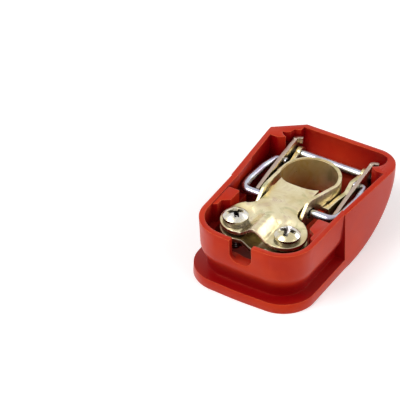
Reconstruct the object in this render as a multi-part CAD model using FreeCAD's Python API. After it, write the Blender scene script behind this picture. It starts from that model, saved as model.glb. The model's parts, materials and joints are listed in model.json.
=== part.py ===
import FreeCAD, Part
import math
import os

V = FreeCAD.Vector

# Quick-release battery terminal clamp in its lever cover, millimetres.
# +Z points out of the open side of the cover, X is across, the cable leaves towards -Y.
# The cover stands on its closed face, at z = 0.

# Lever cover, a moulding open at the top; what runs along it is a share of its length
cover_length = 72.0
cover_height = 22.5
lip_half_width = 21.2
rim_half_width_front = 20.7
rim_setback = 1.4
lip_corner_radius = 12.0
rim_corner_radius = 12.0
front_crown = 0.9
front_crown_radius = 150.0
step_from_front = 0.46 * cover_length
step_half_width = 21.8
rim_half_width_step = 21.5
side_flare = 0.08
rear_corner_radius = 9.0
rear_bevel_start = 8.5
rear_bevel_half_width = 13.9
rear_bevel_angle = 38.0
side_draft = 0.04
stern_length = 0.375 * cover_length
stern_height = 22.0
stern_start_angle = 5.0
lip_thickness = 3.8
grip_top = 12.8
grip_depth = 2.8
grip_valley = 5.2
grip_foot_depth = 2.5
wall_draft_front = 0.5
wall = 1.9
floor_thickness = 2.4
grip_wall = 1.7
ledge_drop = 0.35
foot_depth = 0.5
outer_half_width = 26.0
spare = 1.0

# Cable notch in the front wall
notch_width = 8.2
notch_bottom = 14.0
notch_radius = 3.4

# Ledges beside the clamp ears
ledge_behind_step = 6.0
ledge_inner = 15.0
ledge_step = 17.6
ledge_short = 6.0
ledge_length = 12.9
ledge_slope = 2.6
ledge_tooth = 1.8
ledge_round = 0.5

# Hooked pillars in the rear corners
pillar_from_rear = 11.9
pillar_tip = 16.7
pillar_slant = 1.7
pillar_nose = 2.4
pillar_nose_round = 0.7
pillar_front_round = 2.0
pocket_radius = 4.65
pocket_x = 15.3
pocket_from_rear = 5.8
tooth_height = 4.0
tooth_round = 0.3
tooth_steps = [(-2.9, -2.3), (-1.5, -1.1), (-1.0, 1.0), (1.2, 1.8)]

# Pad on the left wall
pad_thickness = 0.3
pad_length = 11.5
pad_height = 8.0

# Pivot pin of the lever
pin_from_rear = 7.2
pin_height = 15.0
pin_radius = 1.6
pin_play = 0.05
pin_head_radius = 2.0
pin_head_height = 0.8

# Lever plates, two equal pressings
plate_thickness = 1.3
plate_inner = 14.2
plate_front = 0.3625 * cover_length
plate_front_top = 15.8
plate_front_bottom = 12.4
plate_rear_top = 20.4
plate_top_bulge = 0.4
plate_rear_reach = 2.2
plate_tab_reach = 1.5
plate_tab_height = 2.0
plate_foot_front = 0.32 * cover_length
plate_foot_length = 2.2
plate_foot_gap = 0.15
plate_heel_rise = 1.8
plate_stern_gap = 1.2
plate_heel_shares = (0.25, 0.45, 0.66)
plate_tab_lean = 0.5
plate_tab_gap = 0.2

# Wire bail
bail_wire_radius = 1.4
bail_tip_ahead = 8.4
bail_tip_height = 16.4
bail_bar_height = 18.4
bail_reach = 0.44 * cover_length
bail_leg_x = 17.25
bail_bow = 1.15
bail_corner_radius = 3.2
bail_tip_radius = 1.75
bail_bow_radius = 12.0
bail_bow_shares = (0.66, 0.24)
bail_tip_end = 13.2
bail_play = 0.05

# Post ring, one strip bent round the post
post_from_pin = 0.2236 * cover_length
ring_bore_radius = 9.6
ring_thickness = 1.35
ring_top = 20.4
ring_bottom = 7.4
ring_leg_inner = 7.75
ring_bend_from_post = 0.233 * cover_length
ring_leg_reach = 0.307 * cover_length
ring_bend_radius = 1.5
ring_ear_top = 24.0
ring_ear_bottom = 14.6
ring_ear_fall = 4.6
ring_top_round = 12.0
ring_ear_round = 3.0
ring_edge_round = 1.2
ring_notch_round = 0.6
ring_slot_play = 0.3
ring_slot_front = 1.0
ring_slot_rear = 0.3
ring_travel = 2.9
running_gap = 0.4

# Clamp plates, upper strap and lower saddle
strap_thickness = 1.3
strap_half_width = 7.2
strap_edge_height = 21.6
ear_height = 19.7
ear_from_post = 0.44 * cover_length
ear_x = 8.1
ear_radius = 7.4
ear_flat = 0.7
ear_fillet = 4.0
crown_height = 22.8
tunnel_half_width = 5.6
tunnel_end_from_ear = 2.6
neck_arch_half_width = 10.0
neck_from_ear = 8.1
neck_fall = 0.3
neck_corner_from_post = 6.1
saddle_thickness = 1.5
saddle_top = 16.7
trough_depth = 2.3
bore_clearance = 0.3
wing_from_post = 0.125 * cover_length
wing_length = 2.6
arm_bottom = 11.8
arm_waist = 11.4
arm_lean = 0.4
arm_steps = (-3.0, 2.2, 8.7)
arm_round = 4.0
arm_corner = 2.0
arm_bulge = 12.9
arm_hollow = 11.7
arm_end = 12.6
lug_radius = 2.55
collar_radius = 3.7
collar_depth = 1.6

# Cable screws and their spring washers
screw_x = 9.8
screw_from_post = 0.46 * cover_length
screw_radius = 2.4
screw_tail = 8.6
screw_point = 0.4
head_radius = 4.4
head_edge = 1.2
head_height = 3.0
cross_length = 5.4
cross_width = 1.2
cross_depth = 1.8
cross_angles = (20, 110)
washer_radius = 4.1
washer_height = 0.8
washer_gap = 0.7
thread_play = 0.05
screw_play = 0.25

# Places that follow from the sizes
front_y = -cover_length / 2
rear_y = cover_length / 2
step_y = front_y + step_from_front
pin_y = rear_y - pin_from_rear
post_y = pin_y - post_from_pin
bail_tip_y = pin_y - bail_tip_ahead
bar_y = pin_y - bail_reach
screw_y = post_y - screw_from_post
ear_y = post_y - ear_from_post
stern_y = rear_y - stern_length
rim_front_y = front_y + rim_setback
wing_y = post_y - wing_from_post
saddle_bottom = saddle_top - saddle_thickness
high = cover_height + 10.0


def turn_points(a, b, c, radius):
    """Where an arc of this radius leaves the edge a-b and joins the edge b-c."""
    u = (a - b).normalize()
    w = (c - b).normalize()
    half = u.getAngle(w) / 2
    cut = radius / math.tan(half)
    middle = b + (u + w).normalize() * (radius / math.sin(half) - radius)
    return b + u * cut, middle, b + w * cut


def outline(points, closed=True):
    """A wire through (vector, radius) corners, with an arc at each corner that has a radius."""
    count = len(points)
    edges = []
    last = None
    first = None
    for i, (corner, radius) in enumerate(points):
        inside = closed or 0 < i < count - 1
        if radius and inside:
            before = points[i - 1][0]
            after = points[(i + 1) % count][0]
            start, middle, end = turn_points(before, corner, after, radius)
            arc = Part.Arc(start, middle, end).toShape()
        else:
            start, end, arc = corner, corner, None
        if last is not None and last.distanceToPoint(start) > 1e-6:
            edges.append(Part.LineSegment(last, start).toShape())
        if arc is not None:
            edges.append(arc)
        if first is None:
            first = start
        last = end
    if closed and last.distanceToPoint(first) > 1e-6:
        edges.append(Part.LineSegment(last, first).toShape())
    return Part.Wire(edges)


def flat(points, z):
    """Corners given as (x, y, radius), laid at one height."""
    return [(V(x, y, z), r) for x, y, r in points]


def prism(points, low, top):
    """A straight prism over a plan outline of (x, y, radius) corners."""
    return Part.Face(outline(flat(points, low))).extrude(V(0, 0, top - low))


def side_prism(points, low, top):
    """A straight prism across X over a side outline of (y, z, radius) corners."""
    corners = [(V(low, y, z), r) for y, z, r in points]
    return Part.Face(outline(corners)).extrude(V(top - low, 0, 0))


def inset(points, depth):
    """The same closed outline, drawn this far inside itself."""
    count = len(points)
    moved = []
    for i, (x, y, r) in enumerate(points):
        before = points[i - 1]
        after = points[(i + 1) % count]
        a = V(x - before[0], y - before[1], 0).normalize()
        b = V(after[0] - x, after[1] - y, 0).normalize()
        left_a = V(-a.y, a.x, 0)
        left_b = V(-b.y, b.x, 0)
        shift = (left_a + left_b) * (depth / (1 + left_a.dot(left_b)))
        moved.append((x + shift.x, y + shift.y, max(r - depth, 0.4) if r else 0))
    return moved


def mirrored(points):
    """Right-hand (x, y, radius) corners, front to rear, closed by their mirror image."""
    return points + [(-x, y, r) for x, y, r in reversed(points) if abs(x) > 1e-6]


def eased(share):
    """A share from 0 to 1 that starts and ends gently."""
    return share * share * (3 - 2 * share)


def both_sides(shape):
    """The shape and its mirror image across the middle plane."""
    return [shape, shape.mirror(V(0, 0, 0), V(1, 0, 0))]


# Lever cover

def cover_plan(z, stern_reach):
    """Plan outline of the cover at one height, lip corners in front, its stern drawn in below."""
    grow = side_draft * (cover_height - z)
    rear = stern_y + stern_reach
    corner_x = step_half_width + grow + side_flare * (rear - step_y)
    return mirrored([
        (0.0, front_y, front_crown_radius),
        (lip_half_width + grow, front_y + front_crown, lip_corner_radius),
        (step_half_width + grow, step_y, 0),
        (corner_x, rear, rear_corner_radius),
    ])


def stern_curve(share, floor):
    """The stern's reach behind its start and its height, at a share of the way from floor to rim."""
    start = math.radians(stern_start_angle)
    angle = start + (math.pi / 2 - start) * share
    reach = stern_length * (math.sin(angle) - math.sin(start)) / (1 - math.sin(start))
    rise = 1 - math.cos(angle) / math.cos(start)
    return reach, floor + (stern_height - floor) * rise


def cover_loft(depth, floor, top):
    """The cover's outer form, drawn in by a wall and raised by a floor, up to a top height."""
    sections = []
    steps = 7
    for i in range(steps + 1):
        reach, z = stern_curve(i / steps, floor)
        plan = inset(cover_plan(z, reach), depth)
        sections.append(outline(flat(plan, z)))
    hull = Part.makeLoft(sections, True, False)
    top_plan = inset(cover_plan(stern_height, stern_length), depth)
    return hull.fuse(prism(top_plan, stern_height, top)).removeSplitter()


def rim_plan(depth):
    """Plan outline of the rim's front part, back past the step, drawn in by a depth."""
    behind = step_y + 2 * rim_corner_radius
    plan = mirrored([
        (0.0, rim_front_y, front_crown_radius),
        (rim_half_width_front, rim_front_y + front_crown, rim_corner_radius),
        (rim_half_width_step, step_y, 0),
        (rim_half_width_step, behind, 0),
    ])
    return inset(plan, depth)


def front_body():
    """The cover's front part above the lip, with its drafted wall and the finger groove."""
    groove = [(0.0, grip_foot_depth), (grip_valley, grip_depth)]
    steps = 4
    for i in range(steps):
        share = (i + 1) / steps
        out = grip_depth - (grip_depth - wall_draft_front) * eased(share)
        groove.append((grip_valley + (grip_top - grip_valley) * share, out))
    low = Part.makeLoft([outline(flat(rim_plan(d), z)) for z, d in groove], True, False)
    upper = [(grip_top, wall_draft_front), (cover_height, 0.0)]
    top = Part.makeLoft([outline(flat(rim_plan(d), z)) for z, d in upper], True, True)
    return low.fuse(top)


def slab(low_y, high_y, low_z, high_z):
    """A block across the whole width, for keeping or removing a stretch."""
    wide = 3 * outer_half_width
    return Part.makeBox(wide, high_y - low_y, high_z - low_z, V(-wide / 2, low_y, low_z))


def cover_cavity():
    """The room inside: the full width above and behind, narrower beside the finger groove."""
    room = cover_loft(wall, floor_thickness, high)
    behind = room.common(slab(step_y + wall, rear_y + spare, -spare, high))
    upper_front = prism(rim_plan(wall), grip_top + grip_wall, high)
    lower_front = prism(rim_plan(grip_depth + grip_wall), floor_thickness, high)
    front = upper_front.fuse(lower_front).common(slab(front_y, step_y + 2 * wall, 0, high))
    return behind.fuse(front)


def ledge():
    """One ledge beside a clamp ear, from the floor to just under the rim."""
    rear = step_y - ledge_behind_step
    front = rear - ledge_length
    wall_x = step_half_width
    return prism([
        (wall_x, front, 0),
        (ledge_step, front + ledge_slope, ledge_round),
        (ledge_step, rear - ledge_short - ledge_tooth, ledge_round),
        (ledge_inner, rear - ledge_short, ledge_round),
        (ledge_inner, rear, ledge_round),
        (wall_x, rear, 0),
    ], foot_depth, cover_height - ledge_drop)


def pillar():
    """A rear corner: solid behind the hooked pillar, with the round pocket for the lever plate."""
    front = rear_y - pillar_from_rear
    block = prism([
        (outer_half_width, front, 0),
        (outer_half_width, rear_y, 0),
        (pillar_tip, rear_y, 0),
        (pillar_tip, front + pillar_slant, pillar_nose_round),
        (pillar_tip + pillar_nose, front, pillar_front_round),
    ], foot_depth, cover_height)
    pocket = Part.makeCylinder(pocket_radius, high, V(pocket_x, rear_y - pocket_from_rear, 0))
    return block.cut(pocket)


def left_teeth():
    """The teeth that narrow the left pocket near the rim, behind the plate's end."""
    pocket_y = rear_y - pocket_from_rear
    steps = [(x - pocket_x, y + pocket_y, tooth_round) for x, y in tooth_steps]
    plan = [(-outer_half_width, steps[0][1], 0)] + steps
    plan += [(steps[-1][0], rear_y, 0), (-outer_half_width, rear_y, 0)]
    return prism(plan, cover_height - tooth_height, cover_height)


def wall_pad():
    """The raised pad on the inside of the left wall, from the step rearwards."""
    inner = step_half_width - wall - pad_thickness
    return prism([
        (-outer_half_width, step_y, 0),
        (-inner, step_y, 0),
        (-inner - side_flare * pad_length, step_y + pad_length, 0),
        (-outer_half_width, step_y + pad_length, 0),
    ], cover_height - pad_height, cover_height)


def corner_bevel():
    """What the left rear corner loses where its rim slopes down and out."""
    start = V(-step_half_width - side_flare * (rear_y - step_y), rear_y - rear_bevel_start, cover_height)
    end = V(-rear_bevel_half_width, rear_y, cover_height)
    along = (end - start).normalize()
    out = V(-along.y, along.x, 0)
    angle = math.radians(rear_bevel_angle)
    fall = out * math.cos(angle) - V(0, 0, math.sin(angle))
    first = start - along * outer_half_width
    last = end + along * outer_half_width
    face = Part.Face(Part.makePolygon([
        first, first + fall * outer_half_width, first + out * outer_half_width, first,
    ]))
    return face.extrude(last - first)


def make_cover():
    """The whole moulding: stern, lip, finger groove, inside room, ledges, pillars and cable notch."""
    rear_room = slab(step_y, rear_y + spare, -spare, high)
    hull = cover_loft(0.0, 0.0, cover_height).common(rear_room)
    lip_plans = [outline(flat(cover_plan(z, stern_length), z)) for z in (0.0, lip_thickness)]
    lip = Part.makeLoft(lip_plans, True, True).common(slab(front_y, step_y, 0, high))
    front = front_body().common(slab(front_y, step_y + spare, 0, high))
    body = hull.fuse([lip, front])
    shell = body.cut(cover_cavity())
    extra = []
    for part in both_sides(ledge()) + both_sides(pillar()) + [left_teeth(), wall_pad()]:
        extra.append(part.common(body))
    shell = shell.fuse(extra).cut(corner_bevel())
    half = notch_width / 2
    notch = Part.Face(outline([
        (V(-half, front_y, high), 0), (V(-half, front_y, notch_bottom), notch_radius),
        (V(half, front_y, notch_bottom), notch_radius), (V(half, front_y, high), 0),
    ])).extrude(V(0, rim_setback + 2 * grip_depth + wall, 0))
    return shell.cut(notch).removeSplitter()


# Lever plates and pivot pin

def ribbon(points, thickness):
    """A closed outline round an open centre line of (x, y, radius) points."""
    half = thickness / 2
    sides = ([], [])
    for i, (x, y, r) in enumerate(points):
        before = points[max(i - 1, 0)]
        after = points[min(i + 1, len(points) - 1)]
        a = V(x - before[0], y - before[1], 0)
        b = V(after[0] - x, after[1] - y, 0)
        a = (a if i else b).normalize()
        b = (b if i < len(points) - 1 else a).normalize()
        left_a = V(-a.y, a.x, 0)
        left_b = V(-b.y, b.x, 0)
        shift = (left_a + left_b) * (half / (1 + left_a.dot(left_b)))
        turn = half if a.x * b.y - a.y * b.x > 0 else -half
        sides[0].append((x + shift.x, y + shift.y, r - turn if r else 0))
        sides[1].append((x - shift.x, y - shift.y, r + turn if r else 0))
    return sides[0] + sides[1][::-1]


def cross_bar(y, z, radius, low_x, high_x):
    """A round bar across X."""
    return Part.makeCylinder(radius, high_x - low_x, V(low_x, y, z), V(1, 0, 0))


def stern_point(depth, floor, share):
    """A point on the cover's inner stern curve, this far in from it."""
    reach, z = stern_curve(share, floor)
    return V(0, stern_y + reach - depth, z)


def make_lever_plate(side):
    """One lever plate: a long flat pressing with its rear top corner turned towards +X."""
    low_x = plate_inner if side > 0 else -plate_inner - plate_thickness
    front = pin_y - plate_front
    rear = pin_y + plate_rear_reach
    gap = wall + plate_stern_gap
    curve = [stern_point(gap, floor_thickness + plate_stern_gap, share) for share in plate_heel_shares]
    heel = V(0, rear, curve[2].z + plate_heel_rise)
    middle = V(0, (front + rear) / 2, (plate_front_top + plate_rear_top) / 2 + plate_top_bulge)
    tip = V(0, front, plate_front_bottom)
    nose = V(0, front, plate_front_top)
    top = V(0, rear, plate_rear_top)
    foot_front = V(0, pin_y - plate_foot_front, floor_thickness + plate_foot_gap)
    foot_rear = foot_front + V(0, plate_foot_length, 0)
    edges = [
        Part.LineSegment(foot_rear, curve[0]).toShape(),
        Part.Arc(curve[0], curve[1], curve[2]).toShape(),
        Part.LineSegment(curve[2], heel).toShape(),
        Part.LineSegment(heel, top).toShape(),
        Part.Arc(top, middle, nose).toShape(),
        Part.LineSegment(nose, tip).toShape(),
        Part.LineSegment(tip, foot_front).toShape(),
        Part.LineSegment(foot_front, foot_rear).toShape(),
    ]
    face = Part.Face(Part.Wire(Part.__sortEdges__(edges)))
    face.translate(V(low_x, 0, 0))
    plate = face.extrude(V(plate_thickness, 0, 0))
    centre = low_x + plate_thickness / 2
    bend = rear - plate_thickness / 2
    tab_plan = ribbon([
        (centre, bend - plate_thickness, 0),
        (centre, bend, plate_thickness),
        (centre + plate_thickness / 2 + plate_tab_reach, bend + plate_tab_lean, 0),
    ], plate_thickness)
    tab = prism(tab_plan, plate_rear_top - plate_tab_height, plate_rear_top)
    trim = slab(bend - plate_tab_gap, rear_y, plate_rear_top - plate_tab_height, high)
    plate = plate.cut(trim).fuse(tab)
    top_x = low_x + plate_thickness
    eye = cross_bar(pin_y, pin_height, pin_radius + pin_play, low_x, top_x)
    tip_hole = cross_bar(bail_tip_y, bail_tip_height, bail_wire_radius + bail_play, low_x, top_x)
    return plate.cut(eye).cut(tip_hole).removeSplitter()


def make_pivot_pin():
    """The pin through both plates and both clamp arms, with a riveted head outside each plate."""
    outer = plate_inner + plate_thickness
    pin = cross_bar(pin_y, pin_height, pin_radius, -outer, outer)
    edge = pin_head_height / 2
    centre = V(outer + edge, pin_y, pin_height)
    disc = cross_bar(pin_y, pin_height, pin_head_radius, outer, outer + edge)
    face = Part.makeCone(pin_head_radius, pin_head_radius - edge, edge, centre, V(1, 0, 0))
    return pin.fuse(both_sides(disc.fuse(face))).removeSplitter()


# Wire bail

def make_bail():
    """The bent wire, all in one plane: two inward tips, two bowed legs and the bar across the front."""
    slope = (bail_bar_height - bail_tip_height) / (bail_tip_y - bar_y)

    def place(x, behind_bar):
        return V(x, bar_y + behind_bar, bail_bar_height - slope * behind_bar)

    reach = bail_tip_y - bar_y
    half = [
        (place(bail_tip_end, reach), 0),
        (place(bail_leg_x, reach), bail_tip_radius),
        (place(bail_leg_x + bail_bow, reach * bail_bow_shares[0]), bail_bow_radius),
        (place(bail_leg_x + bail_bow, reach * bail_bow_shares[1]), bail_bow_radius),
        (place(bail_leg_x, 0), bail_corner_radius),
    ]
    other = [(V(-p.x, p.y, p.z), r) for p, r in reversed(half)]
    path = outline(half + other, closed=False)
    start = Part.Wire(Part.makeCircle(bail_wire_radius, half[0][0], V(1, 0, 0)))
    return path.makePipeShell([start], True, True)


# Post ring

def tangent_point(radius, x, y):
    """Where the line from (x, y) touches the right side of a circle round the post."""
    distance = math.hypot(x, y - post_y)
    angle = math.atan2(y - post_y, x) + math.acos(radius / distance)
    return V(radius * math.cos(angle), post_y + radius * math.sin(angle), 0)


def horseshoe(radius, leg_x, front):
    """A plan face: round behind the post, with two legs closing in and running forward."""
    bend = V(leg_x, post_y - ring_bend_from_post, 0)
    touch = tangent_point(radius, bend.x, bend.y)
    right = [(V(leg_x, front, 0), 0), (bend, ring_bend_radius), (touch, 0)]
    left = [(V(-p.x, p.y, 0), r) for p, r in reversed(right)]
    back = Part.Arc(touch, V(0, post_y + radius, 0), V(-touch.x, touch.y, 0)).toShape()
    edges = outline(right, closed=False).Edges + [back] + outline(left, closed=False).Edges
    edges.append(Part.LineSegment(V(-leg_x, front, 0), V(leg_x, front, 0)).toShape())
    return Part.Face(Part.Wire(Part.__sortEdges__(edges)))


def ring_profile():
    """The side outline of the ring's strip, stepped over the clamp's wings, with ears in front."""
    front = post_y - ring_leg_reach
    bend = post_y - ring_bend_from_post
    rear = post_y + ring_bore_radius + 2 * ring_thickness
    over_wing = saddle_top + running_gap
    notch_front = wing_y - ring_travel - running_gap
    notch_rear = wing_y + wing_length + running_gap
    return side_prism([
        (rear, ring_bottom, 0),
        (rear, ring_top, 0),
        (post_y, ring_top, ring_top_round),
        (bend, ring_ear_top, ring_ear_round),
        (front, ring_ear_top - ring_ear_fall, ring_ear_round),
        (front, ring_ear_bottom, ring_edge_round),
        (notch_front, ring_ear_bottom, ring_notch_round),
        (notch_front, over_wing, ring_notch_round),
        (notch_rear, over_wing, ring_notch_round),
        (notch_rear, ring_bottom, ring_edge_round),
    ], -2 * ring_bore_radius, 2 * ring_bore_radius)


def make_post_ring():
    """The ring that closes round the post, one bent strip with a slot in each ear for the bail."""
    front = post_y - ring_leg_reach
    outer = horseshoe(ring_bore_radius + ring_thickness, ring_leg_inner + ring_thickness, front)
    inner = horseshoe(ring_bore_radius, ring_leg_inner, front - spare)
    strip = outer.extrude(V(0, 0, high)).cut(inner.extrude(V(0, 0, high)))
    hole = bail_wire_radius + ring_slot_play
    far = ring_bore_radius
    length = ring_slot_front + ring_slot_rear
    slot = Part.makeBox(2 * far, length, 2 * hole, V(-far, bar_y - ring_slot_front, bail_bar_height - hole))
    ends = [
        cross_bar(bar_y - ring_slot_front, bail_bar_height, hole, -far, far),
        cross_bar(bar_y + ring_slot_rear, bail_bar_height, hole, -far, far),
    ]
    return strip.common(ring_profile()).cut(slot.fuse(ends)).removeSplitter()


# Clamp plates

def sheet_section(y, base, crown, half_width, thickness):
    """A closed section of a formed sheet across X: flat beside, arched to its crown in the middle."""
    reach = ear_x + ear_radius + spare
    top = []
    count = 6
    for i in range(count + 1):
        share = 2.0 * i / count - 1
        lift = (crown - base) * (1 + math.cos(math.pi * share)) / 2
        top.append(V(half_width * share, y, base + lift))
    edges = []
    for drop in (0, thickness):
        middle = [p - V(0, 0, drop) for p in top]
        curve = Part.BSplineCurve()
        curve.interpolate(middle, InitialTangent=V(1, 0, 0), FinalTangent=V(1, 0, 0))
        edges.append(Part.LineSegment(V(-reach, y, base - drop), middle[0]).toShape())
        edges.append(curve.toShape())
        edges.append(Part.LineSegment(middle[-1], V(reach, y, base - drop)).toShape())
    for x in (-reach, reach):
        edges.append(Part.LineSegment(V(x, y, base), V(x, y, base - thickness)).toShape())
    return Part.Wire(Part.__sortEdges__(edges))


def clamp_plan(low, top):
    """Plan of both clamp plates as a solid: two round ears, a neck and the hollow for the post."""
    deep = top - low
    neck_x = strap_half_width
    front = ear_y - ear_radius + ear_flat
    middle = Part.makeBox(2 * ear_x, ear_y - front, deep, V(-ear_x, front, low))
    neck = Part.makeBox(2 * neck_x, post_y - ear_y, deep, V(-neck_x, ear_y, low))
    ears = both_sides(Part.makeCylinder(ear_radius, deep, V(ear_x, ear_y, low)))
    fillet_x = neck_x + ear_fillet
    fillet_y = ear_y + math.sqrt((ear_radius + ear_fillet) ** 2 - (fillet_x - ear_x) ** 2)
    web = Part.makeBox(ear_fillet, fillet_y - ear_y, deep, V(neck_x, ear_y, low))
    web = web.cut(Part.makeCylinder(ear_fillet, deep, V(fillet_x, fillet_y, low)))
    solid = neck.fuse([middle] + ears + both_sides(web))
    post = Part.makeCylinder(ring_bore_radius + bore_clearance, deep, V(0, post_y, low))
    return solid.cut(post).cut(slab(post_y - neck_corner_from_post, rear_y, low, top)).removeSplitter()


def make_upper_strap():
    """The upper clamp plate: arched over the cable in front and lifted over the bail behind."""
    front = ear_y - ear_radius
    tunnel_end = ear_y + tunnel_end_from_ear
    neck_front = ear_y + neck_from_ear
    side_share = (1 + math.cos(math.pi * strap_half_width / neck_arch_half_width)) / 2
    neck_base = crown_height - (crown_height - strap_edge_height) / (1 - side_share)
    sections = []
    steps = 5
    for i in range(steps + 1):
        along = i / steps
        share = eased(along)
        sections.append(sheet_section(
            tunnel_end + (neck_front - tunnel_end) * along,
            ear_height + (neck_base - ear_height) * share,
            crown_height,
            tunnel_half_width + (neck_arch_half_width - tunnel_half_width) * share,
            strap_thickness,
        ))
    first = sheet_section(front, ear_height, crown_height, tunnel_half_width, strap_thickness)
    last = sheet_section(post_y, neck_base - neck_fall, crown_height - neck_fall,
                         neck_arch_half_width, strap_thickness)
    arch = Part.makeLoft([first, sections[0]], True, True)
    blend = Part.makeLoft(sections, True, False)
    sheet = arch.fuse([blend, Part.makeLoft([sections[-1], last], True, True)])
    strap = sheet.common(clamp_plan(saddle_top, high))
    hole = Part.makeCylinder(screw_radius + screw_play, high, V(screw_x, screw_y, 0))
    return strap.cut(both_sides(hole)).removeSplitter()


def arm_plan():
    """Plan of one side arm: beside the ring, in behind it, and out again to the pin."""
    return ribbon([
        (arm_waist, wing_y, 0),
        (arm_waist + arm_lean, post_y + arm_steps[0], arm_round),
        (arm_bulge, post_y + arm_steps[1], arm_round),
        (arm_hollow, post_y + arm_steps[2], arm_round),
        (arm_end, pin_y - lug_radius, arm_round),
        (arm_end, pin_y + lug_radius, 0),
    ], saddle_thickness)


def make_arm():
    """One side arm, on edge beside the ring, with the round lug for the pin."""
    lug = cross_bar(pin_y, pin_height, lug_radius, 0, outer_half_width)
    return prism(arm_plan(), 0, high).common(side_prism([
        (wing_y, arm_bottom, arm_corner),
        (pin_y, arm_bottom, 0),
        (pin_y, saddle_top, 0),
        (wing_y, saddle_top, 0),
    ], 0, outer_half_width).fuse(lug))


def make_lower_saddle():
    """The lower clamp plate, with its trough, tapped collars and two side arms to the pin."""
    sunk = saddle_top - trough_depth
    ends = []
    for y in (ear_y - ear_radius, post_y):
        ends.append(sheet_section(y, saddle_top, sunk, tunnel_half_width, saddle_thickness))
    sheet = Part.makeLoft(ends, True, True)
    saddle = sheet.common(clamp_plan(0, high))
    collar = Part.makeCylinder(collar_radius, collar_depth, V(screw_x, screw_y, saddle_bottom - collar_depth))
    wing = Part.makeBox(arm_waist - strap_half_width, wing_length, saddle_thickness,
                        V(strap_half_width, wing_y, saddle_bottom))
    saddle = saddle.fuse(both_sides(collar) + both_sides(wing) + both_sides(make_arm()))
    tapped = Part.makeCylinder(screw_radius + thread_play, high, V(screw_x, screw_y, 0))
    saddle = saddle.cut(both_sides(tapped))
    eye = cross_bar(pin_y, pin_height, pin_radius + pin_play, -outer_half_width, outer_half_width)
    return saddle.cut(eye).removeSplitter()


# Cable screws

def make_screw(x):
    """A pan-head screw with a cross recess, its head over the washer on the strap."""
    seat = ear_height + washer_height
    edge = seat + head_edge
    top = seat + head_height
    dome = top - edge
    ball = (head_radius ** 2 + dome ** 2) / (2 * dome)
    half_turn = math.asin(head_radius / ball) / 2
    shoulder = V(ball * math.sin(half_turn), 0, top - ball + ball * math.cos(half_turn))
    profile = Part.makePolygon([
        V(0, 0, top),
        V(0, 0, screw_tail),
        V(screw_radius - screw_point, 0, screw_tail),
        V(screw_radius, 0, screw_tail + screw_point),
        V(screw_radius, 0, seat),
        V(head_radius, 0, seat),
        V(head_radius, 0, edge),
    ])
    arc = Part.Arc(V(head_radius, 0, edge), shoulder, V(0, 0, top)).toShape()
    screw = Part.Face(Part.Wire(profile.Edges + [arc])).revolve(V(0, 0, 0), V(0, 0, 1), 360)
    for angle in cross_angles:
        bar = Part.makeBox(cross_length, cross_width, cross_depth + spare,
                           V(-cross_length / 2, -cross_width / 2, top - cross_depth))
        bar.rotate(V(0, 0, 0), V(0, 0, 1), angle)
        screw = screw.cut(bar)
    screw.translate(V(x, screw_y, 0))
    return screw


def make_spring_washer(x):
    """A split spring washer under a screw head."""
    washer = Part.makeCylinder(washer_radius, washer_height, V(x, screw_y, ear_height))
    washer = washer.cut(Part.makeCylinder(screw_radius + screw_play, high, V(x, screw_y, 0)))
    split = Part.makeBox(washer_gap, washer_radius, washer_height,
                         V(x - washer_gap / 2, screw_y, ear_height))
    return washer.cut(split)


pieces = {
    "cover": make_cover(),
    "lever_plate_left": make_lever_plate(-1),
    "lever_plate_right": make_lever_plate(1),
    "pivot_pin": make_pivot_pin(),
    "bail": make_bail(),
    "post_ring": make_post_ring(),
    "upper_strap": make_upper_strap(),
    "lower_saddle": make_lower_saddle(),
    "clamp_screw_left": make_screw(-screw_x),
    "clamp_screw_right": make_screw(screw_x),
    "spring_washer_left": make_spring_washer(-screw_x),
    "spring_washer_right": make_spring_washer(screw_x),
}
os.makedirs("parts", exist_ok=True)
for name, shape in pieces.items():
    box = shape.BoundBox
    print(name, shape.isValid(), len(shape.Solids), round(shape.Volume, 1),
          [round(v, 2) for v in (box.XMin, box.XMax, box.YMin, box.YMax, box.ZMin, box.ZMax)])
    shape.exportStep("parts/" + name + ".step")
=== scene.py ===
import bpy
import bmesh
import json
import math
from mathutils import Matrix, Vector


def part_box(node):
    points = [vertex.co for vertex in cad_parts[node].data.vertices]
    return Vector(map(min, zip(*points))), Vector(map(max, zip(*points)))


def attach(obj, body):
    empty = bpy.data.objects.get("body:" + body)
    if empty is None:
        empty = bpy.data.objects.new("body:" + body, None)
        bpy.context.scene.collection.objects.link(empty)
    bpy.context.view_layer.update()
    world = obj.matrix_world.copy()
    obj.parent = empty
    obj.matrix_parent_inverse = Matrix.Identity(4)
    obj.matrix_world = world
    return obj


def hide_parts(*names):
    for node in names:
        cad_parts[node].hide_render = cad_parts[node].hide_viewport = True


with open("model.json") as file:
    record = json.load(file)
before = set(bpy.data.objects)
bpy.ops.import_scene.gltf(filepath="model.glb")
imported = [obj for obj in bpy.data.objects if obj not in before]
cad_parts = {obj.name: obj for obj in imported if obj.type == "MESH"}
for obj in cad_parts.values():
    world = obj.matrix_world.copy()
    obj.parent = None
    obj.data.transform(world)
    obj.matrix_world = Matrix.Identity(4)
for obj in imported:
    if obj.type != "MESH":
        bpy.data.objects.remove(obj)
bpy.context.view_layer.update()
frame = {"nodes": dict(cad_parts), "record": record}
nodes = frame["nodes"]
record = frame["record"]
scene = bpy.context.scene

MM = 0.001

# The picture is 400 pixels wide and high; the camera's place follows from the cover's edges in it.
picture_size = 400.0
camera_focal_pixels = 2041.0
camera_azimuth = math.radians(31.29)
camera_elevation = math.radians(37.46)
camera_distance = 700.0 * MM
camera_target = Vector((-31.87, -6.83, 10.07)) * MM
sensor_width = 36.0
nearest_seen = 0.01

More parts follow.
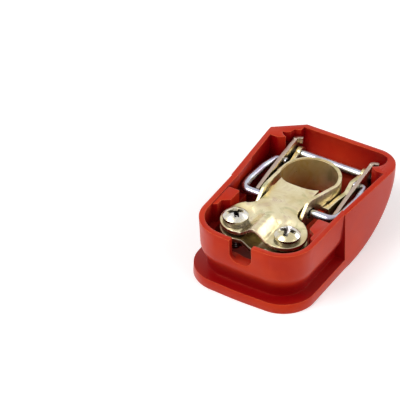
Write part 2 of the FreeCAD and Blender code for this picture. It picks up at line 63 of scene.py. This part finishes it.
# Colours, as linear light
cover_red = (0.52, 0.020, 0.006)
cover_red_light = (0.60, 0.036, 0.008)
# Painted shade: the crimson that the cover's recesses take, laid in by how enclosed they are
cover_painted_shade_red = (0.27, 0.0004, 0.0026)
cover_gloss_tint = (1.0, 0.28, 0.14)
# Painted highlight: the light orange that the cover's open edges take
cover_edge_highlight_red = (0.92, 0.21, 0.085)
gold_pale = (0.86, 0.77, 0.51)
gold_warm = (0.70, 0.58, 0.32)
gold_green = (0.40, 0.41, 0.20)
gold_rose = (0.55, 0.38, 0.31)
# Painted highlight: the cream that the steel's edges take
gold_edge_highlight = (0.88, 0.84, 0.66)
gold_shade = (0.17, 0.140, 0.055)
cut_edge_rose = (0.50, 0.37, 0.33)
bore_brown = (0.42, 0.24, 0.045)
steel_shade = (0.10, 0.085, 0.080)
wire_blue = (0.56, 0.61, 0.70)
wire_lilac = (0.50, 0.46, 0.58)
screw_bright = (0.74, 0.73, 0.70)
screw_gold = (0.64, 0.55, 0.33)
screw_rose = (0.62, 0.47, 0.44)
floor_white = (0.86, 0.86, 0.86)

# How far a surface looks round for what covers it, when it finds its recesses
cover_reach = 24.0 * MM
steel_reach = 7.0 * MM
screw_reach = 16.0 * MM
openness_samples = 16
edge_samples = 6

# The battery post's place and the middle of the ring strip round it
post_place = (0.0, 12.7 * MM, 0.0)
ring_middle_radius = 10.2 * MM

# Screws
recess_width = 1.7 * MM
recess_length = 5.6 * MM
recess_depth = 2.9 * MM
recess_end_depth = 1.5 * MM
recess_taper = 0.62
head_dome = 1.8 * MM
head_total = 3.0 * MM
head_round = 0.25 * MM
screw_shank = 2.4 * MM
thread_core = 2.1 * MM
thread_pitch = 0.8 * MM
thread_start = 4.0 * MM
thread_end_gap = 0.2 * MM
thread_crest_share = 0.5
thread_foot_share = 0.98
tail_point_share = 0.8
cross_turn_degrees = {"clamp_screw_left": 38.0, "clamp_screw_right": 12.0}
spin_steps = 48
thread_steps = 24
dome_steps = 7
screw_crease_degrees = 30.0

# How much each piece's sharp edges are rounded
weld_distance = 0.0005 * MM
flat_degrees = 0.6
sharp_degrees = 32.0
crease_degrees = 40.0
softened = {
    "cover": 0.30 * MM,
    "lever_plate_left": 0.12 * MM,
    "lever_plate_right": 0.12 * MM,
    "post_ring": 0.24 * MM,
    "upper_strap": 0.34 * MM,
    "lower_saddle": 0.15 * MM,
}

# The studio: how bright the world and the floor are, and each lamp's place, size and power
world_light = 0.36
ceiling_light = 0.90
horizon_height = 0.15
ceiling_height = 0.60
floor_glow = 0.38
floor_half_side = 3.0
floor_drop = 0.1 * MM
lamp_aim = Vector((0.0, 0.0, 10.0)) * MM
softboxes = {
    "key": ((-0.25, -0.35, 0.55), 0.35, 2.4),
    "fill": ((0.55, -0.05, 0.35), 0.35, 0.9),
    "back": ((0.33, 0.47, 0.40), 0.30, 0.55),
}


# Node helpers

def new_finish(name):
    """A material with its output and shader; returns (material, tree, shader)."""
    material = bpy.data.materials.new(name)
    material.use_nodes = True
    tree = material.node_tree
    shader = tree.nodes["Principled BSDF"]
    return material, tree, shader


def add(tree, kind, **settings):
    """A node of one kind with its inputs and settings given by name."""
    node = tree.nodes.new(kind)
    for key, value in settings.items():
        if hasattr(node, key):
            setattr(node, key, value)
        else:
            node.inputs[key.replace("_", " ")].default_value = value
    return node


def link(tree, source, target):
    tree.links.new(source, target)


def object_place(tree, stretch=(1, 1, 1), turn=(0, 0, 0)):
    """Object coordinates, stretched and turned."""
    coordinates = add(tree, "ShaderNodeTexCoord")
    mapping = add(tree, "ShaderNodeMapping", Scale=stretch, Rotation=turn)
    link(tree, coordinates.outputs["Object"], mapping.inputs["Vector"])
    return mapping.outputs["Vector"]


def noise(tree, place, scale, detail=4.0, roughness=0.55, distortion=0.0):
    """A cloudy pattern between 0 and 1; its scale is in clouds to the metre."""
    node = add(tree, "ShaderNodeTexNoise", Scale=scale, Detail=detail, Roughness=roughness,
               Distortion=distortion)
    link(tree, place, node.inputs["Vector"])
    return node.outputs["Fac"]


def spread(tree, value, span, target=(0.0, 1.0)):
    """Maps a span of a value to a target span, clamped, with soft ends."""
    node = add(tree, "ShaderNodeMapRange", interpolation_type="SMOOTHSTEP")
    for name, number in zip(("From Min", "From Max", "To Min", "To Max"), (*span, *target)):
        node.inputs[name].default_value = number
    link(tree, value, node.inputs["Value"])
    return node.outputs["Result"]


def blend_colour(tree, share, first, second):
    """Mixes two colours, each a triple or a socket, by a share."""
    node = add(tree, "ShaderNodeMix", data_type="RGBA")
    link(tree, share, node.inputs["Factor"])
    sockets = [s for s in node.inputs if s.type == "RGBA"]
    for socket, colour in zip(sockets, (first, second)):
        if isinstance(colour, tuple):
            socket.default_value = (*colour, 1.0)
        else:
            link(tree, colour, socket)
    return [s for s in node.outputs if s.type == "RGBA"][0]


def combine(tree, operation, first, second):
    """A maths node on two values, each a number or a socket."""
    node = add(tree, "ShaderNodeMath", operation=operation)
    for socket, value in zip(node.inputs, (first, second)):
        if isinstance(value, (int, float)):
            socket.default_value = value
        else:
            link(tree, value, socket)
    return node.outputs["Value"]


def bump(tree, height, strength, distance, normal):
    """Lays a height pattern over a normal."""
    node = add(tree, "ShaderNodeBump", Strength=strength, Distance=distance)
    link(tree, height, node.inputs["Height"])
    link(tree, normal, node.inputs["Normal"])
    return node.outputs["Normal"]


def rounded_normal(tree, radius):
    """The surface's normal with its edges rounded to a radius."""
    return add(tree, "ShaderNodeBevel", samples=edge_samples, Radius=radius).outputs["Normal"]


def edge_share(tree, radius):
    """How near an edge is: 0 on a flat stretch, towards 1 on a sharp edge."""
    plain = add(tree, "ShaderNodeNewGeometry")
    dot = add(tree, "ShaderNodeVectorMath", operation="DOT_PRODUCT")
    link(tree, rounded_normal(tree, radius), dot.inputs[0])
    link(tree, plain.outputs["Normal"], dot.inputs[1])
    return spread(tree, dot.outputs["Value"], (0.995, 0.80))


def open_share(tree, distance, only_local=True):
    """How open a place is: 0 deep in a recess, 1 on a face with nothing over it."""
    node = add(tree, "ShaderNodeAmbientOcclusion", samples=openness_samples, only_local=only_local,
               Distance=distance)
    return node.outputs["AO"]


def object_parts(tree, output, offset=None):
    """The X, Y and Z of Object coordinates or the object-space normal, after an offset is taken off."""
    coordinates = add(tree, "ShaderNodeTexCoord")
    place = coordinates.outputs[output]
    if offset is not None:
        move = add(tree, "ShaderNodeVectorMath", operation="SUBTRACT")
        move.inputs[1].default_value = offset
        link(tree, place, move.inputs[0])
        place = move.outputs["Vector"]
    parts = add(tree, "ShaderNodeSeparateXYZ")
    link(tree, place, parts.inputs["Vector"])
    return place, parts.outputs


# Finishes

def make_cover_plastic():
    """Red moulded plastic: a satin skin with a faint orange peel, with painted shade, crimson,
    in its recesses and a painted light orange highlight, in patches, on its open edges."""
    cloud_scale = 70.0
    cloud_span = (0.35, 0.7)
    recess_span = (0.70, 0.97)
    highlight_edge_radius = 0.45 * MM
    highlight_open_span = (0.70, 0.90)
    highlight_patch_scale = 420.0
    highlight_patch_span = (0.3, 0.7)
    highlight_patch_range = (0.45, 1.0)
    scuff_scale = 900.0
    scuff_stretch = (1.0, 0.15, 1.0)
    scuff_turn = (0.2, 0.1, 0.5)
    scuff_weight = 0.2
    sheen_span = (0.3, 0.8)
    roughness_range = (0.26, 0.40)
    gloss_level = 0.5
    moulded_edge = 0.25 * MM
    peel_scale = 1500.0
    peel_strength = 0.10
    peel_depth = 0.05 * MM
    wave_scale = 120.0
    wave_strength = 0.12
    wave_depth = 0.12 * MM

    material, tree, shader = new_finish("cover_plastic_red")
    place = object_place(tree)
    cloud = noise(tree, place, cloud_scale)
    colour = blend_colour(tree, spread(tree, cloud, cloud_span), cover_red, cover_red_light)
    openness = open_share(tree, cover_reach)
    # Painted shade: crimson where the recesses close in
    colour = blend_colour(tree, spread(tree, openness, recess_span), cover_painted_shade_red, colour)
    # Painted highlight: light orange on the open edges, broken into patches
    edge = combine(tree, "MULTIPLY", edge_share(tree, highlight_edge_radius), spread(tree, openness, highlight_open_span))
    patches = spread(tree, noise(tree, place, highlight_patch_scale), highlight_patch_span, highlight_patch_range)
    colour = blend_colour(tree, combine(tree, "MULTIPLY", edge, patches), colour, cover_edge_highlight_red)
    link(tree, colour, shader.inputs["Base Color"])
    scuff = noise(tree, object_place(tree, scuff_stretch, scuff_turn), scuff_scale, 2.0)
    sheen = combine(tree, "ADD", cloud, combine(tree, "MULTIPLY", scuff, scuff_weight))
    link(tree, spread(tree, sheen, sheen_span, roughness_range), shader.inputs["Roughness"])
    shader.inputs["Specular IOR Level"].default_value = gloss_level
    shader.inputs["Specular Tint"].default_value = (*cover_gloss_tint, 1.0)
    normal = rounded_normal(tree, moulded_edge)
    normal = bump(tree, noise(tree, place, peel_scale, 2.0), peel_strength, peel_depth, normal)
    normal = bump(tree, noise(tree, place, wave_scale, 2.0), wave_strength, wave_depth, normal)
    link(tree, normal, shader.inputs["Normal"])
    return material


def bore_brown_share(tree):
    """Up to 1 on the bore of the ring, most on its side towards minus X, else 0."""
    bore_side_span = (-4.0 * MM, 8.0 * MM)
    bore_side_range = (1.0, 0.15)
    bore_span = (ring_middle_radius + 0.1 * MM, ring_middle_radius - 0.2 * MM)
    place, parts = object_parts(tree, "Object", post_place)
    bore_side = spread(tree, parts["X"], bore_side_span, bore_side_range)
    flat = add(tree, "ShaderNodeVectorMath", operation="MULTIPLY")
    flat.inputs[1].default_value = (1.0, 1.0, 0.0)
    link(tree, place, flat.inputs[0])
    radius = add(tree, "ShaderNodeVectorMath", operation="LENGTH")
    link(tree, flat.outputs["Vector"], radius.inputs[0])
    return combine(tree, "MULTIPLY", spread(tree, radius.outputs["Value"], bore_span), bore_side)


def cut_edge_share(tree):
    """1 on the cut edges of a pressing that stands across X, 0 on its two rolled faces."""
    across_span = (0.75, 0.35)
    parts = object_parts(tree, "Normal")[1]
    return spread(tree, combine(tree, "ABSOLUTE", parts["X"], 0.0), across_span)


def make_gold_steel(name, bore=False, cut_edges=False):
    """Pressed steel with a pale gold passivated zinc coat, clouded with green and rose, with painted
    shade in its recesses and a painted cream highlight on its edges.
    Each pattern gives its scale, detail, roughness and distortion."""
    cloud_pattern = (110.0, 5.0, 0.6, 0.6)
    film_pattern = (160.0, 3.0, 0.5, 1.2)
    cloud_span = (0.35, 0.65)
    film_stretch = (1.0, 1.4, 0.7)
    green_span = (0.50, 0.75)
    green_range = (0.0, 0.75)
    rose_span = (0.45, 0.25)
    rose_range = (0.0, 0.55)
    recess_span = (0.0, 0.50)
    brown_patch_span = (0.25, 0.70)
    brown_patch_range = (0.95, 0.70)
    bore_dullness = 0.75
    bore_gloss_level = 0.25
    cut_edge_weight = 0.85
    edge_highlight_radius = 0.3 * MM
    edge_highlight_weight = 0.7
    grain_stretch = (1.0, 0.12, 1.0)
    grain_scale = 1600.0
    grain_weight = 0.5
    grain_strength = 0.10
    grain_depth = 0.03 * MM
    sheen_span = (0.4, 1.1)
    roughness_range = (0.24, 0.42)
    pressed_edge = 0.2 * MM
    dent_scale = 260.0
    dent_strength = 0.15
    dent_depth = 0.10 * MM

    material, tree, shader = new_finish(name)
    place = object_place(tree)
    cloud = noise(tree, place, *cloud_pattern)
    colour = blend_colour(tree, spread(tree, cloud, cloud_span), gold_pale, gold_warm)
    film = noise(tree, object_place(tree, film_stretch), *film_pattern)
    colour = blend_colour(tree, spread(tree, film, green_span, green_range), colour, gold_green)
    colour = blend_colour(tree, spread(tree, film, rose_span, rose_range), colour, gold_rose)
    deep = spread(tree, open_share(tree, steel_reach, only_local=False), recess_span)
    colour = blend_colour(tree, deep, gold_shade, colour)
    shader.inputs["Metallic"].default_value = 1.0
    if bore:
        patches = spread(tree, film, brown_patch_span, brown_patch_range)
        brown_share = combine(tree, "MULTIPLY", bore_brown_share(tree), patches)
        colour = blend_colour(tree, brown_share, colour, bore_brown)
        dull = combine(tree, "MULTIPLY", brown_share, bore_dullness)
        link(tree, combine(tree, "SUBTRACT", 1.0, dull), shader.inputs["Metallic"])
        shader.inputs["Specular IOR Level"].default_value = bore_gloss_level
    if cut_edges:
        cut = combine(tree, "MULTIPLY", cut_edge_share(tree), cut_edge_weight)
        colour = blend_colour(tree, cut, colour, cut_edge_rose)
    # Painted highlight: the edges turn pale cream
    edge = combine(tree, "MULTIPLY", edge_share(tree, edge_highlight_radius), edge_highlight_weight)
    colour = blend_colour(tree, edge, colour, gold_edge_highlight)
    link(tree, colour, shader.inputs["Base Color"])
    grain = noise(tree, object_place(tree, grain_stretch), grain_scale, 3.0)
    sheen = combine(tree, "ADD", cloud, combine(tree, "MULTIPLY", grain, grain_weight))
    link(tree, spread(tree, sheen, sheen_span, roughness_range), shader.inputs["Roughness"])
    normal = rounded_normal(tree, pressed_edge)
    normal = bump(tree, grain, grain_strength, grain_depth, normal)
    normal = bump(tree, noise(tree, place, dent_scale, 3.0), dent_strength, dent_depth, normal)
    link(tree, normal, shader.inputs["Normal"])
    return material


def make_bright_zinc(name, colours, smoothest, reach):
    """Bright zinc plating with a faint drift of three colours, fine scratches and dull spots."""
    cloud_pattern = (180.0, 4.0, 0.55, 0.8)
    tint_span = (0.4, 0.65)
    other_span = (0.45, 0.25)
    other_range = (0.0, 0.7)
    recess_span = (0.20, 0.80)
    scratch_stretch = (0.15, 1.0, 1.0)
    scratch_turn = (0.3, 0.0, 0.2)
    scratch_scale = 1400.0
    scratch_span = (0.3, 0.7)
    scratch_strength = 0.12
    scratch_depth = 0.03 * MM
    roughness_range = (smoothest, smoothest + 0.14)
    plated_edge = 0.15 * MM

    main, tint, other = colours
    material, tree, shader = new_finish(name)
    cloud = noise(tree, object_place(tree), *cloud_pattern)
    colour = blend_colour(tree, spread(tree, cloud, tint_span), main, tint)
    colour = blend_colour(tree, spread(tree, cloud, other_span, other_range), colour, other)
    deep = spread(tree, open_share(tree, reach, only_local=False), recess_span)
    colour = blend_colour(tree, deep, steel_shade, colour)
    link(tree, colour, shader.inputs["Base Color"])
    shader.inputs["Metallic"].default_value = 1.0
    scratch = noise(tree, object_place(tree, scratch_stretch, scratch_turn), scratch_scale, 2.0)
    link(tree, spread(tree, scratch, scratch_span, roughness_range), shader.inputs["Roughness"])
    normal = bump(tree, scratch, scratch_strength, scratch_depth, rounded_normal(tree, plated_edge))
    link(tree, normal, shader.inputs["Normal"])
    return material


wire_colours = (wire_blue, wire_lilac, screw_bright)
screw_colours = (screw_bright, screw_gold, screw_rose)
finishes = {
    "cover_plastic": make_cover_plastic(),
    "gold_steel": make_gold_steel("gold_zinc_steel"),
    "pin_steel": make_bright_zinc("pin_zinc", wire_colours, 0.20, steel_reach),
    "wire_steel": make_bright_zinc("wire_zinc", wire_colours, 0.18, steel_reach),
    "screw_steel": make_bright_zinc("screw_zinc", screw_colours, 0.16, screw_reach),
}
plate_finish = make_gold_steel("gold_zinc_plate", cut_edges=True)
own_finishes = {
    "post_ring": make_gold_steel("gold_zinc_ring", bore=True),
    "lever_plate_left": plate_finish,
    "lever_plate_right": plate_finish,
}
for entry in record["subparts"]:
    name = entry["node"]
    own_finishes.setdefault(name, finishes[entry["material_slot"]])
    nodes[name].data.materials.clear()
    nodes[name].data.materials.append(own_finishes[name])

bodies = {}
for body_name, members in record["behaviour"]["bodies"].items():
    for name in members:
        bodies[name] = body_name


# Pieces with rounded edges, and the screws

def keep_piece(form, name, stands_for):
    """Makes an object of a bmesh, with the finish and body of the node that it stands for."""
    mesh = bpy.data.meshes.new(name)
    form.to_mesh(mesh)
    form.free()
    mesh.materials.append(own_finishes[stands_for])
    piece = bpy.data.objects.new(name, mesh)
    scene.collection.objects.link(piece)
    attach(piece, bodies[stands_for])
    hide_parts(stands_for)


def smooth_by_angle(form, degrees):
    """Shades a form smooth, with a crease where two faces meet at more than an angle."""
    for face in form.faces:
        face.smooth = True
    for edge in form.edges:
        edge.smooth = edge.calc_face_angle(0.0) < math.radians(degrees)


def soften(name, width):
    """A copy of a node's form with its sharp edges rounded over."""
    form = bmesh.new()
    form.from_mesh(nodes[name].data)
    bmesh.ops.remove_doubles(form, verts=form.verts, dist=weld_distance)
    bmesh.ops.dissolve_limit(form, angle_limit=math.radians(flat_degrees), verts=form.verts,
                             edges=form.edges)
    limit = math.radians(sharp_degrees)
    sharp = [e for e in form.edges if len(e.link_faces) == 2 and e.calc_face_angle(0.0) > limit]
    bmesh.ops.bevel(form, geom=sharp, offset=width, segments=2, profile=0.5, affect="EDGES",
                    clamp_overlap=True, material=-1)
    bmesh.ops.triangulate(form, faces=form.faces)
    smooth_by_angle(form, crease_degrees)
    keep_piece(form, name + "_rounded", name)


def cross_recess(form, centre, top, turn):
    """Opens a cross recess in a screw's dome, its arms sinking towards the middle."""
    half_width = recess_width / 2
    half_length = recess_length / 2
    axes = [Vector((math.cos(turn + a), math.sin(turn + a), 0.0)) for a in (0.0, math.pi / 2)]
    floor_z = top - head_dome
    for axis in axes:
        for offset in (-half_length, -half_width, half_width, half_length):
            geom = list(form.verts) + list(form.edges) + list(form.faces)
            bmesh.ops.bisect_plane(form, geom=geom, dist=weld_distance, plane_co=centre + axis * offset,
                                   plane_no=axis)
    inside = []
    for face in form.faces:
        spot = face.calc_center_median() - centre
        u, v = abs(spot.dot(axes[0])), abs(spot.dot(axes[1]))
        cross = (u < half_length and v < half_width) or (v < half_length and u < half_width)
        if cross and face.calc_center_median().z > floor_z:
            inside.append(face)
    bmesh.ops.delete(form, geom=inside, context="FACES")
    rim = [e for e in form.edges if e.is_boundary]
    sunk = bmesh.ops.extrude_edge_only(form, edges=rim)["geom"]
    for vert in [g for g in sunk if isinstance(g, bmesh.types.BMVert)]:
        spot = vert.co - centre
        reach = math.hypot(spot.x, spot.y) / half_length
        vert.co.x = centre.x + spot.x * recess_taper
        vert.co.y = centre.y + spot.y * recess_taper
        vert.co.z = top - recess_depth + (recess_depth - recess_end_depth) * min(reach, 1.0)
    low_edges = [g for g in sunk if isinstance(g, bmesh.types.BMEdge) and g.is_boundary]
    bmesh.ops.triangle_fill(form, edges=low_edges, use_beauty=True)


def thread_ridge(form, centre, low, top):
    """A screw thread's ridge, wound round the shank between two heights."""
    turns = int((top - low) / thread_pitch) - 1
    corners = [
        form.verts.new((centre.x + thread_core, centre.y, low)),
        form.verts.new((centre.x + screw_shank, centre.y, low + thread_pitch * thread_crest_share)),
        form.verts.new((centre.x + thread_core, centre.y, low + thread_pitch * thread_foot_share)),
    ]
    loop = [form.edges.new((corners[i], corners[(i + 1) % 3])) for i in range(3)]
    bmesh.ops.spin(form, geom=corners + loop, cent=centre, axis=(0.0, 0.0, 1.0),
                   dvec=(0.0, 0.0, thread_pitch / thread_steps), angle=math.tau * turns,
                   steps=thread_steps * turns)
    ends = [e for e in form.edges if e.is_boundary]
    bmesh.ops.holes_fill(form, edges=ends, sides=3)


def make_screw(name, turn_degrees):
    """A pan-head screw with a deep cross recess and a threaded tail."""
    low, top = (Vector(corner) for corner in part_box(name))
    centre = Vector(((low.x + top.x) / 2, (low.y + top.y) / 2, 0.0))
    head = (top.x - low.x) / 2
    seat = top.z - head_total
    ball = (head ** 2 + head_dome ** 2) / (2 * head_dome)
    profile = [(0.0, top.z)]
    for i in range(1, dome_steps + 1):
        angle = math.asin(head / ball) * i / dome_steps
        profile.append((ball * math.sin(angle), top.z - ball + ball * math.cos(angle)))
    thread_top = seat - thread_start
    profile += [(head, seat + head_round), (head - head_round, seat), (screw_shank, seat)]
    profile += [(screw_shank, thread_top), (thread_core, thread_top - thread_pitch)]
    profile += [(thread_core, low.z + thread_pitch), (thread_core * tail_point_share, low.z)]
    profile += [(0.0, low.z)]
    form = bmesh.new()
    points = [form.verts.new((centre.x + x, centre.y, z)) for x, z in profile]
    line = [form.edges.new(pair) for pair in zip(points, points[1:])]
    bmesh.ops.spin(form, geom=points + line, cent=centre, axis=(0.0, 0.0, 1.0), angle=math.tau,
                   steps=spin_steps, use_merge=True)
    bmesh.ops.remove_doubles(form, verts=form.verts, dist=weld_distance)
    bmesh.ops.recalc_face_normals(form, faces=form.faces)
    cross_recess(form, centre, top.z, math.radians(turn_degrees))
    thread_ridge(form, centre, low.z + thread_end_gap, thread_top - thread_pitch)
    bmesh.ops.recalc_face_normals(form, faces=form.faces)
    smooth_by_angle(form, screw_crease_degrees)
    keep_piece(form, name + "_detailed", name)


for node_name, edge_width in softened.items():
    soften(node_name, edge_width)
for node_name, cross_turn in cross_turn_degrees.items():
    make_screw(node_name, cross_turn)


# Floor, lights and camera

def make_floor():
    """A pale floor that shows nearly white to the camera and keeps the shadow."""
    mesh = bpy.data.meshes.new("floor")
    form = bmesh.new()
    bmesh.ops.create_grid(form, x_segments=1, y_segments=1, size=floor_half_side)
    bmesh.ops.translate(form, verts=form.verts, vec=(0.0, 0.0, -floor_drop))
    form.to_mesh(mesh)
    form.free()
    floor = bpy.data.objects.new("floor", mesh)
    scene.collection.objects.link(floor)
    material, tree, shader = new_finish("floor_pale")
    shader.inputs["Base Color"].default_value = (*floor_white, 1.0)
    shader.inputs["Roughness"].default_value = 0.9
    shader.inputs["Specular IOR Level"].default_value = 0.1
    rays = add(tree, "ShaderNodeLightPath")
    shader.inputs["Emission Color"].default_value = (1.0, 1.0, 1.0, 1.0)
    seen = combine(tree, "MAXIMUM", rays.outputs["Is Camera Ray"], rays.outputs["Is Glossy Ray"])
    link(tree, combine(tree, "MULTIPLY", seen, floor_glow), shader.inputs["Emission Strength"])
    mesh.materials.append(material)


def make_world():
    """Even light all round, which the camera, gloss and glass see as white, dimmer overhead."""
    world = bpy.data.worlds.new("studio")
    scene.world = world
    world.use_nodes = True
    tree = world.node_tree
    background = tree.nodes["Background"]
    rays = add(tree, "ShaderNodeLightPath")
    seen = combine(tree, "MAXIMUM", rays.outputs["Is Camera Ray"], rays.outputs["Is Glossy Ray"])
    seen = combine(tree, "MAXIMUM", seen, rays.outputs["Is Transmission Ray"])
    direction = add(tree, "ShaderNodeTexCoord")
    parts = add(tree, "ShaderNodeSeparateXYZ")
    link(tree, direction.outputs["Generated"], parts.inputs["Vector"])
    backdrop = spread(tree, parts.outputs["Z"], (horizon_height, ceiling_height), (1.0, ceiling_light))
    shown = combine(tree, "MULTIPLY", seen, combine(tree, "SUBTRACT", backdrop, world_light))
    strength = combine(tree, "ADD", shown, world_light)
    background.inputs["Color"].default_value = (1.0, 1.0, 1.0, 1.0)
    link(tree, strength, background.inputs["Strength"])


def make_softbox(name, place, size, watts):
    """A square lamp aimed at the middle of the part."""
    light = bpy.data.lights.new(name, "AREA")
    light.shape = "SQUARE"
    light.size = size
    light.energy = watts
    lamp = bpy.data.objects.new(name, light)
    scene.collection.objects.link(lamp)
    lamp.location = place
    aim = lamp_aim - lamp.location
    lamp.rotation_euler = aim.to_track_quat("-Z", "Y").to_euler()


def make_camera():
    """The camera at the picture's viewing angle, with the picture's framing."""
    lens = bpy.data.cameras.new("camera")
    lens.sensor_width = sensor_width
    lens.lens = camera_focal_pixels * sensor_width / picture_size
    lens.clip_start = nearest_seen
    camera = bpy.data.objects.new("camera", lens)
    scene.collection.objects.link(camera)
    level = math.cos(camera_elevation)
    towards = Vector((math.sin(camera_azimuth) * level, -math.cos(camera_azimuth) * level,
                      math.sin(camera_elevation)))
    camera.location = camera_target + towards * camera_distance
    camera.rotation_euler = towards.to_track_quat("Z", "Y").to_euler()
    scene.camera = camera


make_floor()
make_world()
for lamp_name, (place, size, watts) in softboxes.items():
    make_softbox(lamp_name, place, size, watts)
make_camera()

scene.view_settings.view_transform = "Standard"
